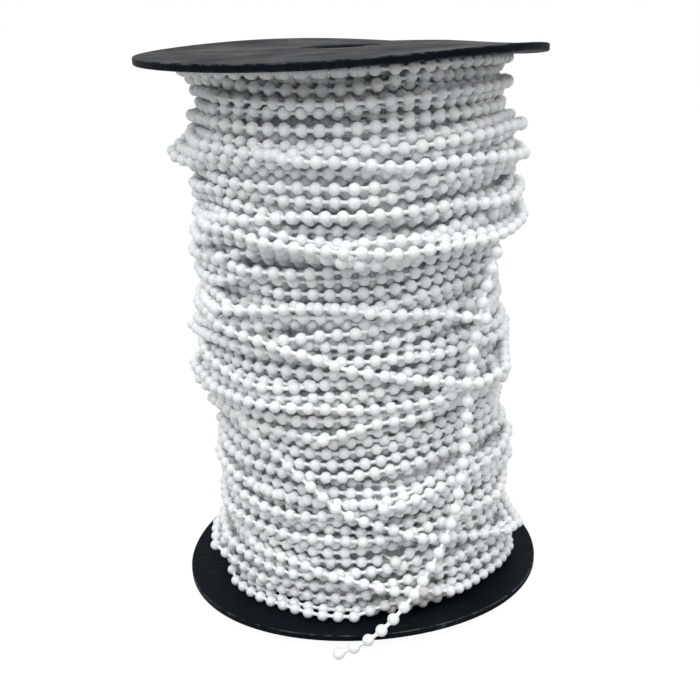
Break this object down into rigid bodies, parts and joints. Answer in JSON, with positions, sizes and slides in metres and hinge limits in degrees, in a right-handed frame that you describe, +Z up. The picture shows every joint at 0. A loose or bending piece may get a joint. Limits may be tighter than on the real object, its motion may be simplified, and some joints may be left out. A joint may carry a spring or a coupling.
{
  "type": "reel of plastic ball chain for roller blinds",
  "caption": "Spool with two thin black flanges, wound full of white plastic ball chain, with a free end hanging down the front and a spindle bore through the hub.",
  "frame": {"origin": "on the reel's axis, at the level of the floor that the lower flange stands on", "axes": "+Z up along the reel's axis, +X to the right and -Y towards the viewer when the chain's free end hangs down the front"},
  "size_m": [0.149, 0.1555, 0.211],
  "materials": {
    "reel_plastic": "satin black moulded plastic, lightly scuffed",
    "chain_plastic": "smooth white moulded balls on a white cord"
  },
  "bodies": {
    "root": {"lower_flange": "reel_plastic", "upper_flange": "reel_plastic", "core_tube": "reel_plastic", "chain_winding": "chain_plastic", "chain_tail": "chain_plastic"}
  },
  "joints": []
}
